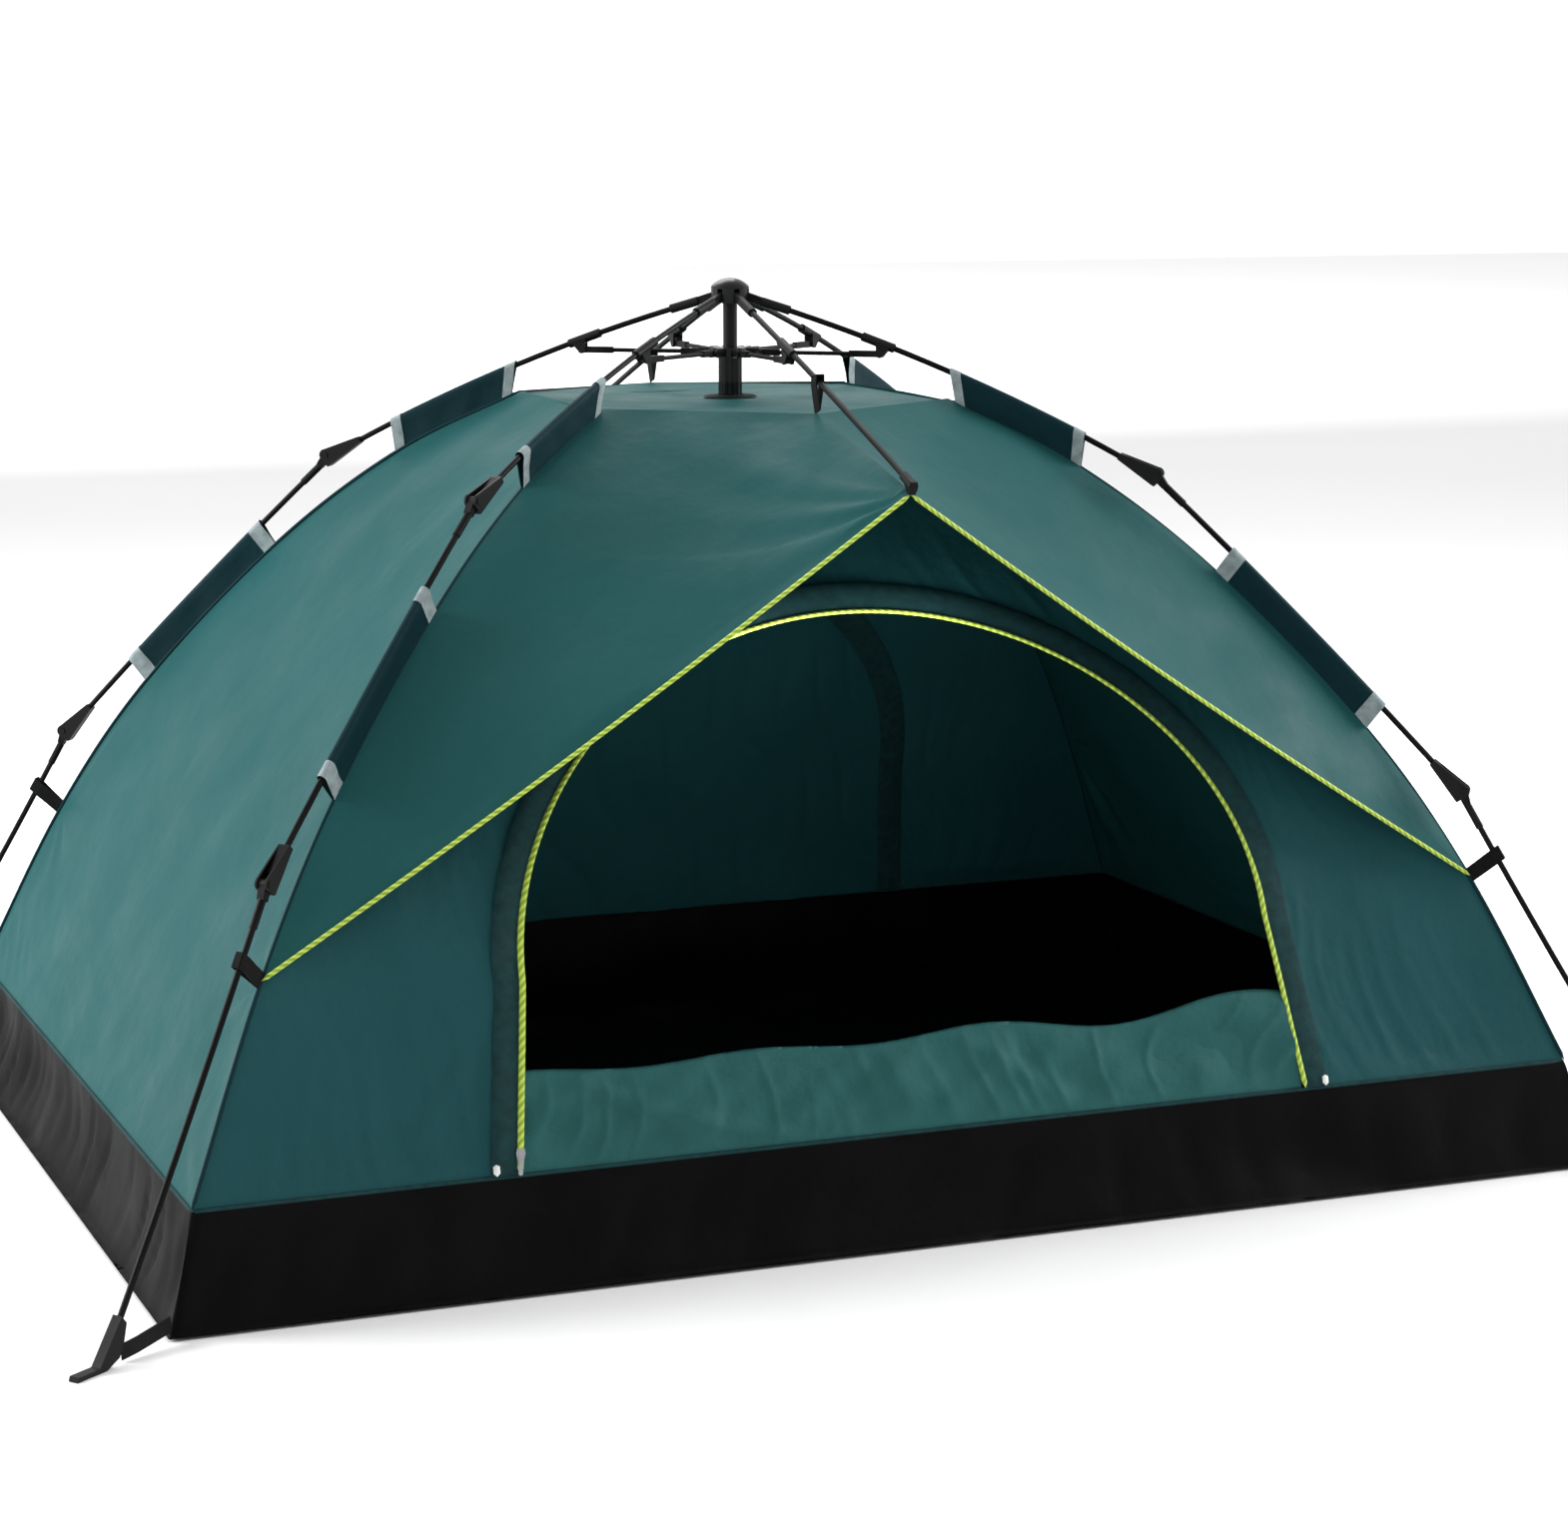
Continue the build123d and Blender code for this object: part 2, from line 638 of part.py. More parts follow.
def make_eave(name, side):
    """The end panel outside the door wall, from the leg seams out to the tip of the eave arm."""
    seam = [(r * LEG_COS, side * (r * LEG_SIN + 5), z) for r, z in SEAM[:5]]
    ridge = (0, side * (ROOF_END + 2), SEAM[0][1] - 2)
    tip = (0, side * EAVE_TIP[0], EAVE_TIP[1])
    lift = Vector(0, side * 0.9 * FABRIC, 1.3 * FABRIC)
    pieces = []
    for mirror in (1, -1):
        line = [(mirror * x, y, z) for x, y, z in seam]
        fan = [(line[0], ridge, tip)] + [(line[i], tip, line[i + 1]) for i in range(len(line) - 1)]
        pieces += [Solid.extrude(Face(Wire.make_polygon(corners)), lift) for corners in fan]
    with BuildPart() as eave:
        for piece in pieces:
            add(piece)
    save(eave, f"{name}_eave")


def make_tub():
    """The floor and its raised walls, which are one waterproof tub."""
    low, high = (FLOOR_CORNER_R, 0), SEAM[-1]
    slope = ((low[0] - high[0]) / (high[1] - low[1]))
    with BuildPart() as tub:
        with BuildSketch(Plane.XY):
            Rectangle(2 * low[0] * LEG_COS, 2 * low[0] * LEG_SIN)
        with BuildSketch(Plane.XY.offset(high[1] - GAP)):
            Rectangle(2 * high[0] * LEG_COS, 2 * high[0] * LEG_SIN)
        loft()
        inner = low[0] - slope * 3 - 3
        with BuildSketch(Plane.XY.offset(3)):
            Rectangle(2 * inner * LEG_COS, 2 * inner * LEG_SIN)
        top = high[0] - 3
        with BuildSketch(Plane.XY.offset(high[1])):
            Rectangle(2 * top * LEG_COS, 2 * top * LEG_SIN)
        loft(mode=Mode.SUBTRACT)
    save(tub, "bathtub_floor")


# ---------------------------------------------------------------- fabric that ties the canopy to the frame
def make_sleeves():
    """The webs sewn to the canopy's seam, which hold the upper and middle rods of each leg."""
    with BuildPart() as sleeves:
        for azimuth in LEGS.values():
            for rod_line, a, b, seam in ((ARM_ROD, 0.48, 0.86, (0, 1)), (MIDDLE_ROD, 0.24, 0.76, (2, 3))):
                arc = arc_of(rod_line)
                out = []
                for share in (a, (a + b) / 2, b):
                    p, t = arc @ share, arc % share
                    out.append(move((p.X, p.Y), (t.X, t.Y), 0, -ROD_R - 1.5))
                inner = [move(SEAM[i], unit(SEAM[seam[0]], SEAM[seam[1]]), 0, 4) for i in seam]
                with BuildSketch(leg_plane(azimuth)):
                    with BuildLine():
                        Polyline(*out, inner[1], inner[0], close=True)
                    make_face()
                extrude(amount=FABRIC / 2, both=True)
    save(sleeves, "corner_sleeves")


def make_straps():
    lower = arc_of(LOWER_ROD)
    with BuildPart() as straps:
        for azimuth in LEGS.values():
            rod = point_at(lower, 1089)
            with BuildSketch(leg_plane(azimuth)):
                with BuildLine():
                    start = move(rod, unit(rod, SEAM[4]), ROD_R + 1.5)
                    end = move(rod, unit(rod, SEAM[4]), hypot(rod[0] - SEAM[4][0], rod[1] - SEAM[4][1]) - 4)
                    side = unit(rod, SEAM[4])
                    Polyline(
                        move(start, side, 0, STRAP_W / 2), move(end, side, 0, STRAP_W / 2),
                        move(end, side, 0, -STRAP_W / 2), move(start, side, 0, -STRAP_W / 2), close=True)
                make_face()
            extrude(amount=STRAP_T / 2, both=True)
        for azimuth in EAVES.values():
            with BuildSketch(leg_plane(azimuth)):
                with Locations((ROOF_END - 2, (SEAM[0][1] + 1079) / 2)):
                    Rectangle(STRAP_W - 4, 1076 - SEAM[0][1] - 3)
            extrude(amount=STRAP_T / 2, both=True)
        for azimuth in LEGS.values():
            with BuildSketch(leg_plane(azimuth)):
                with BuildLine():
                    Polyline((FLOOR_CORNER_R + 8, 16), (1318, 4), (1318, 14), (FLOOR_CORNER_R + 4, 34),
                             close=True)
                make_face()
            extrude(amount=STRAP_T / 2, both=True)
    save(straps, "frame_straps")


# ---------------------------------------------------------------- door zips' sliders
def make_slider(name, side):
    """A zip slider at the foot of the zip's left side, standing proud of the tape."""
    line = [END_LINE[5], END_LINE[4]]
    share = (SLIDER_START - line[0][1]) / (line[1][1] - line[0][1])
    y = line[0][0] + (line[1][0] - line[0][0]) * share
    x = DOOR_HALF_LOW + (DOOR_HALF - DOOR_HALF_LOW) * (SLIDER_START - DOOR_LOW) / (DOOR_SPRING - DOOR_LOW)
    lean = unit(line[0], line[1])
    normal = Vector(0, side * lean[1], -lean[0])
    widening = (DOOR_HALF - DOOR_HALF_LOW) / (DOOR_SPRING - DOOR_LOW)
    up = Vector(side * widening, side * lean[0], lean[1])
    face = Plane(origin=Vector(side * x, side * y, SLIDER_START) + normal * (ZIP_T + 1.2),
                 x_dir=up.cross(normal), z_dir=normal)
    with BuildPart() as slider:
        with BuildSketch(face):
            with BuildLine():
                Polyline((-4, -7), (4, -7), (6, 2), (5, 8), (-5, 8), (-6, 2), close=True)
            make_face()
        extrude(amount=3)
        with BuildSketch(face.offset(3)):
            with Locations((0, -9)):
                SlotCenterToCenter(26, 6, rotation=90)
        extrude(amount=1.2)
    save(slider, f"{name}_zip_slider")


make_crown()
make_runner()
for arm_name, arm_azimuth in ARMS.items():
    make_arm(arm_name, arm_azimuth)
    make_strut(arm_name, arm_azimuth)
for arm_name, arm_azimuth in LEGS.items():
    make_leg(arm_name, arm_azimuth)
zips = []
for end_name, end_side in (("front", -1), ("rear", 1)):
    make_end_wall(end_name, end_side)
    zips.append(make_door_parts(end_name, end_side, SILL_TOP if end_side < 0 else DOOR_TOP))
    make_eave(end_name, end_side)
    make_slider(end_name, end_side)
save_group("door_zips", *zips)
make_side_panel("left", -1)
make_side_panel("right", 1)
make_roof()
make_tub()
make_sleeves()
make_straps()
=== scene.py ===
"""Looks of the instant dome tent: cloth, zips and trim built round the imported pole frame. Metres, +Z up."""
import json
from math import cos, hypot, pi, radians, sin

import bpy
import numpy as np
from mathutils import Euler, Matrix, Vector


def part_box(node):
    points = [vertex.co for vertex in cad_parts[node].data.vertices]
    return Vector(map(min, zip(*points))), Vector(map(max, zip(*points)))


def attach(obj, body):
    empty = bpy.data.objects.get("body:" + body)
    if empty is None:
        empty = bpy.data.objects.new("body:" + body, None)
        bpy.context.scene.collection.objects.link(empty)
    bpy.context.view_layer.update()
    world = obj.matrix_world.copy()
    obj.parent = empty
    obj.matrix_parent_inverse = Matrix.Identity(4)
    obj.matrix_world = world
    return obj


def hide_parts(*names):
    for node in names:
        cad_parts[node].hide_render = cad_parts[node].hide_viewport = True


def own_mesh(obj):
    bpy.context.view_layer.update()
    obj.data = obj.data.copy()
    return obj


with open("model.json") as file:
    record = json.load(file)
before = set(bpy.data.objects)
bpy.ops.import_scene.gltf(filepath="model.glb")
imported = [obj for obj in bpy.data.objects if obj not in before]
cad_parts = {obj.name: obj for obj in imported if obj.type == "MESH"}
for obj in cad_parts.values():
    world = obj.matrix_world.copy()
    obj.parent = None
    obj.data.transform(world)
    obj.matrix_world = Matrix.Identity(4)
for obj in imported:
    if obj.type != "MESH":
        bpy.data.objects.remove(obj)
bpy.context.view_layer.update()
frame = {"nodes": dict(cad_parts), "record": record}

# ---------------------------------------------------------------- the tent's own dimensions
LEG = radians(36.15)  # azimuth of each leg from the X axis
COS, SIN = cos(LEG), sin(LEG)
SEAM = np.array([
    (0.312, 1.044), (0.495, 0.957), (0.688, 0.817),
    (0.903, 0.604), (1.051, 0.402), (1.190, 0.148),
])
STRAP_SEAM = 4  # the seam point that the corner strap holds, where the eave's piping ends
FLOOR_CORNER = 1.237
ROOF_Z, ROOF_END = 1.042, 0.324
EAVE_TIP = (0.630, 0.963)
# the roof's collar, from the shaft outwards: half its size in x and in y, and its height
COLLAR_RINGS = (
    (0.0192, 0.0192, 1.0455), (0.022, 0.022, 1.0462),
    (0.034, 0.026, 1.0456), (0.040, 0.030, 1.0430),
)
ARM_ROD = ((0.060, 1.173), (0.319, 1.082), (0.593, 0.9515))
MIDDLE_ROD = ((0.6179, 0.9342), (0.825, 0.736), (1.0263, 0.5307))
LOWER_ROD = ((1.0449, 0.5066), (1.192, 0.260), (1.343, 0.018))
DOOR_LOW, DOOR_HALF_LOW = 0.150, 0.552
DOOR_SPRING, DOOR_HALF, DOOR_TOP = 0.375, 0.523, 0.786
SILL_TOP = 0.272
LEGS = {"front_right": (1, -1), "rear_right": (1, 1), "rear_left": (-1, 1), "front_left": (-1, -1)}
ROOT, FOLD = "canopy_and_hub", "fold_front_left"


# ---------------------------------------------------------------- curves, grids and ripples
def smooth(points, count):
    """Evenly spaced points on the Catmull-Rom curve through some points."""
    p = np.array(points, float)
    p = np.vstack([2 * p[0] - p[1], p, 2 * p[-1] - p[-2]])
    parts = []
    for a, b, c, d in zip(p, p[1:], p[2:], p[3:]):
        t = np.linspace(0, 1, 40, endpoint=False)[:, None]
        parts.append(0.5 * (2 * b + (c - a) * t + (2 * a - 5 * b + 4 * c - d) * t**2
                            + (3 * b - a - 3 * c + d) * t**3))
    return resample(np.vstack(parts + [p[-2:-1]]), count)


def resample(line, count):
    """The same line with this many points, evenly spaced."""
    step = np.r_[0, np.cumsum(np.linalg.norm(np.diff(line, axis=0), axis=1))]
    at = np.linspace(0, step[-1], count)
    return np.stack([np.interp(at, step, line[:, i]) for i in range(line.shape[1])], 1)


def arc(points, count):
    """Points on the circle through three points of a leg's plane, as the poles are bent."""
    (ax, ay), (bx, by), (cx, cy) = points
    d = 2 * (ax * (by - cy) + bx * (cy - ay) + cx * (ay - by))
    ux = ((ax**2 + ay**2) * (by - cy) + (bx**2 + by**2) * (cy - ay) + (cx**2 + cy**2) * (ay - by)) / d
    uy = ((ax**2 + ay**2) * (cx - bx) + (bx**2 + by**2) * (ax - cx) + (cx**2 + cy**2) * (bx - ax)) / d
    r = hypot(ax - ux, ay - uy)
    start, end = np.arctan2(ay - uy, ax - ux), np.arctan2(cy - uy, cx - ux)
    t = np.linspace(start, end, count)
    return np.stack([ux + r * np.cos(t), uy + r * np.sin(t)], 1)


def span_of(line, low, high, count):
    """The part of a line whose first coordinate lies between two values."""
    at = np.linspace(low, high, count)
    return np.stack([at, np.interp(at, line[:, 0], line[:, 1])], 1)


SEAM_LINE = smooth(SEAM, 400)


def seam_r(z):
    return np.interp(z, SEAM_LINE[::-1, 1], SEAM_LINE[::-1, 0])


def ripple(u, v, seed, size, turn=0.0, spread=pi, count=10):
    """Smooth uneven waves about 1 high, of roughly this size, across a direction and its spread."""
    rng = np.random.default_rng(seed)
    total = np.zeros_like(u)
    for _ in range(count):
        angle = turn + spread * (rng.random() - 0.5)
        k = 2 * pi / (size * (0.6 + rng.random()))
        total += np.sin(k * (u * cos(angle) + v * sin(angle)) + 2 * pi * rng.random())
    return total / np.sqrt(count)


def crease(u, v, seed, size, turn=0.0, spread=0.6):
    """Sharp folds about 1 high, with soft valleys between them."""
    bend = 0.25 * size * ripple(u, v, seed + 50, 3 * size, turn, pi, 5)
    wave = ripple(u + bend, v - bend, seed, size, turn, spread, 4)
    return np.exp(-(wave / 0.35) ** 2)


def rays(u, v, at, seed, reach, count):
    """Tension folds that fan out from a point where the cloth is held."""
    du, dv = u - at[0], v - at[1]
    away = np.hypot(du, dv)
    angle = np.arctan2(dv, du)
    rng = np.random.default_rng(seed)
    wave = 0
    for _ in range(3):
        folds = count * (0.7 + 0.6 * rng.random())
        wave = wave + np.sin(folds * angle + 2 * pi * rng.random())
    return wave / 2 * np.exp(-away / reach) * (1 - np.exp(-away / (0.15 * reach)))


def normals(grid):
    du, dv = np.gradient(grid, axis=0), np.gradient(grid, axis=1)
    n = np.cross(du, dv)
    return n / np.maximum(np.linalg.norm(n, axis=2, keepdims=True), 1e-12)


def flat_uv(grid):
    """Lengths along the two directions of a grid, in metres."""
    down = np.linalg.norm(np.diff(grid, axis=0), axis=2)
    across = np.linalg.norm(np.diff(grid, axis=1), axis=2)
    v = np.vstack([np.zeros((1, grid.shape[1])), np.cumsum(down, 0)])
    u = np.hstack([np.zeros((grid.shape[0], 1)), np.cumsum(across, 1)])
    return u - u[:, -1:] / 2, v


def mesh_of(name, grid, uv, look, closed=False):
    """A smooth mesh from a grid of points, with uv in metres."""
    rows, cols = grid.shape[:2]
    faces, corners = [], []
    for i in range(rows - 1):
        for j in range(cols if closed else cols - 1):
            k = (j + 1) % cols
            faces.append((i * cols + j, i * cols + k, (i + 1) * cols + k, (i + 1) * cols + j))
            corners += [(i, j), (i, j + 1), (i + 1, j + 1), (i + 1, j)]
    data = bpy.data.meshes.new(name)
    data.from_pydata(grid.reshape(-1, 3).tolist(), [], faces)
    u, v = uv
    if closed:
        u, v = np.hstack([u, 2 * u[:, -1:] - u[:, -2:-1]]), np.hstack([v, v[:, :1]])
    layer = data.uv_layers.new(name="cloth")
    layer.data.foreach_set("uv", np.array([(u[i, j], v[i, j]) for i, j in corners], np.float32).ravel())
    data.shade_smooth()
    data.materials.append(look)
    obj = bpy.data.objects.new(name, data)
    bpy.context.scene.collection.objects.link(obj)
    return obj


def panel(name, grid, lift, look, nodes):
    """A cloth panel raised by its ripples, on the root body."""
    uv = flat_uv(grid)
    shown = grid + normals(grid) * lift[..., None]
    obj = mesh_of(f"{name}_cloth", shown, uv, look)
    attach(obj, ROOT)
    if nodes:
        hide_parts(*nodes)
    collapse(obj)
    return obj


def collapse(obj):
    """Gives the cloth its own copy of its mesh."""
    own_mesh(obj)


def tube(name, line, radius, look, body=ROOT, sides=10, flatten=1.0, squash=True):
    """A round or flattened tube along a line of points, closed at its ends."""
    line = np.array(line, float)
    t = np.gradient(line, axis=0)
    t /= np.linalg.norm(t, axis=1, keepdims=True)
    side = np.cross(t, (0.0, 0.0, 1.0) if abs(t[:, 2]).max() < 0.99 else (1.0, 0.0, 0.0))
    side /= np.linalg.norm(side, axis=1, keepdims=True)
    up = np.cross(side, t)
    turn = np.linspace(0, 2 * pi, sides, endpoint=False)
    radius = np.broadcast_to(radius, (len(line),)).copy()
    radius[0] = radius[-1] = 1e-4
    grid = line[:, None] + radius[:, None, None] * (side[:, None] * np.cos(turn)[None, :, None]
                                                    + flatten * up[:, None] * np.sin(turn)[None, :, None])
    length = np.r_[0, np.cumsum(np.linalg.norm(np.diff(line, axis=0), axis=1))]
    uv = np.tile(turn * radius.max(), (len(line), 1)), np.tile(length[:, None], (1, sides))
    obj = mesh_of(name, grid, uv, look, closed=True)
    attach(obj, body)
    if squash:
        collapse(obj)
    return obj


# ---------------------------------------------------------------- materials
class Look:
    """A material under construction: its node tree and the nodes that every material here shares."""

    def __init__(self, name, roughness, metallic=0.0, sheen=0.0, coat=0.0, specular=0.25):
        self.material = bpy.data.materials.new(name)
        self.material.use_nodes = True
        self.tree = self.material.node_tree
        self.shader = self.tree.nodes["Principled BSDF"]
        self.shader.inputs["Metallic"].default_value = metallic
        self.shader.inputs["Sheen Weight"].default_value = sheen
        self.shader.inputs["Coat Weight"].default_value = coat
        self.shader.inputs["Specular IOR Level"].default_value = specular
        self.coords = self.tree.nodes.new("ShaderNodeTexCoord")
        self.bump = None
        self.spread("Roughness", 9, (roughness * 0.85,) * 3, (min(roughness * 1.15, 1),) * 3)

    def node(self, kind, **values):
        made = self.tree.nodes.new("ShaderNode" + kind)
        for key, value in values.items():
            if key in made.inputs:
                made.inputs[key].default_value = value
            else:
                setattr(made, key, value)
        return made

    def link(self, a, b):
        self.tree.links.new(a, b)

    def noise(self, scale, detail=3.0, space="Object", stretch=(1, 1, 1)):
        place = self.node("Mapping", Scale=stretch)
        self.link(self.coords.outputs[space], place.inputs["Vector"])
        made = self.node("TexNoise", Scale=scale, Detail=detail)
        self.link(place.outputs["Vector"], made.inputs["Vector"])
        return made.outputs["Fac"]

    def ramp(self, value, low, high, start=0.3, end=0.7):
        made = self.node("ValToRGB")
        made.color_ramp.elements[0].position, made.color_ramp.elements[1].position = start, end
        made.color_ramp.elements[0].color = (*low, 1)
        made.color_ramp.elements[1].color = (*high, 1)
        self.link(value, made.inputs["Fac"])
        return made.outputs["Color"]

    def spread(self, socket, scale, low, high, detail=4.0):
        """A socket that varies between two values with a soft noise."""
        self.link(self.ramp(self.noise(scale, detail), low, high), self.shader.inputs[socket])

    def raise_by(self, height, strength, distance):
        """One more layer of bump over the layers before it."""
        made = self.node("Bump", Strength=strength, Distance=distance)
        self.link(height, made.inputs["Height"])
        if self.bump:
            self.link(self.bump.outputs["Normal"], made.inputs["Normal"])
        self.link(made.outputs["Normal"], self.shader.inputs["Normal"])
        self.bump = made

    def bands(self, scale, direction, space="UV"):
        made = self.node("TexWave", Scale=scale, Distortion=0.4, bands_direction=direction)
        made.inputs["Detail"].default_value = 1.0
        self.link(self.coords.outputs[space], made.inputs["Vector"])
        return made.outputs["Fac"]

    def mix(self, a, b, amount, kind="MULTIPLY"):
        made = self.node("Mix", data_type="RGBA", blend_type=kind)
        made.inputs[0].default_value = amount
        self.link(a, made.inputs[6])
        self.link(b, made.inputs[7])
        return made.outputs[2]


def shade(color, k):
    return tuple(min(c * k, 1) for c in color)


def linear(red, green, blue):
    """A display colour from 0 to 255 as the linear values that a shader takes."""
    values = [c / 255 for c in (red, green, blue)]
    return tuple(c / 12.92 if c <= 0.04045 else ((c + 0.055) / 1.055) ** 2.4 for c in values)


def cloth(name, color, roughness=0.62, sheen=0.0, thread=190, crumple=0.5, contrast=0.1, specular=0.1):
    """Coated woven cloth: threads both ways, slubs, soft creases and uneven dye."""
    made = Look(name, roughness, sheen=sheen, specular=specular)
    dye = made.ramp(made.noise(3.5, 5.0), shade(color, 1 - contrast), shade(color, 1 + contrast))
    slubs = made.ramp(made.noise(60, 4.0, "UV", (1, 14, 1)), (0.88,) * 3, (1, 1, 1))
    picks = made.ramp(made.noise(60, 4.0, "UV", (14, 1, 1)), (0.88,) * 3, (1, 1, 1))
    made.link(made.mix(made.mix(dye, slubs, 0.7), picks, 0.7), made.shader.inputs["Base Color"])
    made.raise_by(made.noise(28, 3.0), crumple, 0.0035)
    made.raise_by(made.noise(110, 2.0), crumple * 0.5, 0.0008)
    made.raise_by(made.bands(thread, "X"), 0.25, 0.00025)
    made.raise_by(made.bands(thread, "Y"), 0.25, 0.00025)
    return made.material


def plastic(name, color, roughness, coat=0.0):
    """Moulded plastic: fine grain, uneven gloss and edges rubbed a little lighter."""
    made = Look(name, roughness, coat=coat, specular=0.1)
    base = made.ramp(made.noise(45, 4.0), shade(color, 0.85), shade(color, 1.2))
    rubbed = made.node("NewGeometry")
    edges = made.ramp(rubbed.outputs["Pointiness"], (0, 0, 0), (0.012, 0.012, 0.012), 0.52, 0.62)
    made.link(made.mix(base, edges, 0.8, "ADD"), made.shader.inputs["Base Color"])
    made.raise_by(made.noise(900, 2.0), 0.12, 0.0002)
    made.raise_by(made.noise(60, 2.0), 0.15, 0.0006)
    return made.material


def metal(name, color, roughness):
    made = Look(name, roughness, metallic=1.0)
    made.spread("Base Color", 120, shade(color, 0.85), shade(color, 1.1))
    made.raise_by(made.noise(700, 3.0, stretch=(1, 1, 8)), 0.15, 0.0001)
    return made.material


def webbing(name, color):
    """Ribbed narrow webbing."""
    made = Look(name, 0.75, specular=0.15)
    made.spread("Base Color", 80, shade(color, 0.8), shade(color, 1.3))
    made.raise_by(made.bands(150, "X"), 0.6, 0.0005)
    made.raise_by(made.bands(260, "Y"), 0.4, 0.0003)
    return made.material


def coil(name, dark, pale):
    """A lime coil zip or corded piping, with a twist along its length."""
    made = Look(name, 0.5, sheen=0.1)
    twist = made.bands(55, "DIAGONAL")
    made.link(made.ramp(twist, dark, pale, 0.15, 0.85), made.shader.inputs["Base Color"])
    made.raise_by(twist, 0.4, 0.0008)
    made.raise_by(made.noise(400, 2.0), 0.2, 0.0003)
    return made.material


GREEN = cloth("canopy_green", linear(30, 82, 83), contrast=0.05)
WALL = cloth("wall_green", linear(29, 76, 80), contrast=0.06, crumple=0.7)
DOOR = cloth("door_green", linear(42, 92, 91), contrast=0.07, crumple=1.0)
SLEEVE = cloth("sleeve_green", linear(8, 44, 50), contrast=0.1, crumple=0.6)
TUB = cloth("tub_black", linear(5, 5, 6), roughness=0.6, contrast=0.15, crumple=0.35, specular=0.07)
BINDING = webbing("sleeve_binding", linear(140, 152, 154))
STRAP = webbing("black_webbing", linear(11, 11, 12))
LIME = coil("lime_piping", linear(132, 166, 50), linear(196, 214, 92))
TAPE = webbing("zip_tape_green", linear(22, 54, 56))
WHITE = plastic("white_zip_stop", linear(225, 228, 226), 0.4)
POLE = plastic("pole_black", linear(6, 6, 7), 0.45)
PAINT = plastic("shaft_black", linear(6, 6, 7), 0.38)
HUB = plastic("hub_gloss", linear(12, 13, 15), 0.28, coat=0.2)
FITTING = plastic("fitting_black", linear(5, 5, 6), 0.5)
STEEL = metal("plated_steel", linear(190, 192, 194), 0.3)

FINISH = {
    "hub_plastic": HUB, "steel_pins": STEEL, "shaft_paint": PAINT, "fitting_plastic": FITTING,
    "pole_black": POLE, "zip_metal": STEEL,
}
slot_of = {s["node"]: s["material_slot"] for s in frame["record"]["subparts"]}
for node_name, node in frame["nodes"].items():
    finish = FINISH.get(slot_of[node_name])
    if finish:
        node.data.materials.clear()
        node.data.materials.append(finish)


# ---------------------------------------------------------------- canopy panels
def at_leg(leg, points, out=0.0):
    """Points of a leg's plane, as places in the tent; out moves them across the plane."""
    sx, sy = LEGS[leg]
    p = np.asarray(points, float)
    r, z = p[..., 0], p[..., 1]
    return np.stack([sx * (r * COS + out * SIN), sy * (r * SIN - out * COS), z], -1)


def side_panel(name, side, seed):
    rows, cols = 170, 150
    line = smooth(SEAM, rows)
    w = np.linspace(-1, 1, cols)
    half = line[:, 0] * SIN
    grid = np.stack([
        np.repeat(side * line[:, :1] * COS, cols, 1),
        side * w[None, :] * half[:, None],
        np.repeat(line[:, 1:], cols, 1),
    ], -1)
    u, v = flat_uv(grid)
    t = np.linspace(0, 1, rows)[:, None]
    lift = -0.014 * (1 - w[None, :] ** 4) * np.sin(pi * t) ** 0.8
    edge = np.minimum(1, (1 - abs(w[None, :])) / 0.06) * np.minimum(1, (1 - t) / 0.04)
    lift = lift + edge * 0.0022 * ripple(u, v, seed, 0.32)
    strap_at = v[np.argmin(abs(line[:, 1] - SEAM[STRAP_SEAM, 1])), 0]
    for end in (-1, 1):
        lift = lift + edge * 0.005 * rays(u, v, (end * 0.62, strap_at), seed + end, 0.16, 9)
        lift = lift + edge * 0.004 * rays(u, v, (end * 0.70, v[-1, 0]), seed + 3 + end, 0.14, 9)
    lift = lift + edge * 0.0018 * crease(u, v, seed + 9, 0.12, pi / 2) * np.clip((t - 0.75) / 0.25, 0, 1)
    panel(name, grid, lift, GREEN, [name])


def face(grid, away):
    """The grid turned, if need be, so that its front is on the side that a direction points to."""
    return grid if (normals(grid) @ np.array(away, float)).mean() > 0 else grid[:, ::-1]


def arch(margin, count):
    """The door's outline in x and z from its left foot to its right foot, moved out by a margin."""
    low, half, top = DOOR_HALF_LOW + margin, DOOR_HALF + margin, DOOR_TOP - DOOR_SPRING + margin
    turn = np.linspace(pi, 0, 90)
    line = np.vstack([
        [(-low, DOOR_LOW)],
        np.stack([half * np.cos(turn), DOOR_SPRING + top * np.sin(turn)], 1),
        [(low, DOOR_LOW)],
    ])
    return resample(line, count)


def on_wall(points, sign, out=0.0):
    """Places on an end wall from x and z, moved this far out of the tent."""
    p = np.asarray(points, float)
    z = p[..., 1]
    steep = np.gradient(SEAM_LINE[:, 0] * SIN) / np.gradient(SEAM_LINE[:, 1])
    lean = np.interp(z, SEAM_LINE[::-1, 1], steep[::-1])
    scale = out / np.sqrt(1 + lean**2)
    return np.stack([p[..., 0], sign * (seam_r(z) * SIN + scale), z - lean * scale], -1)


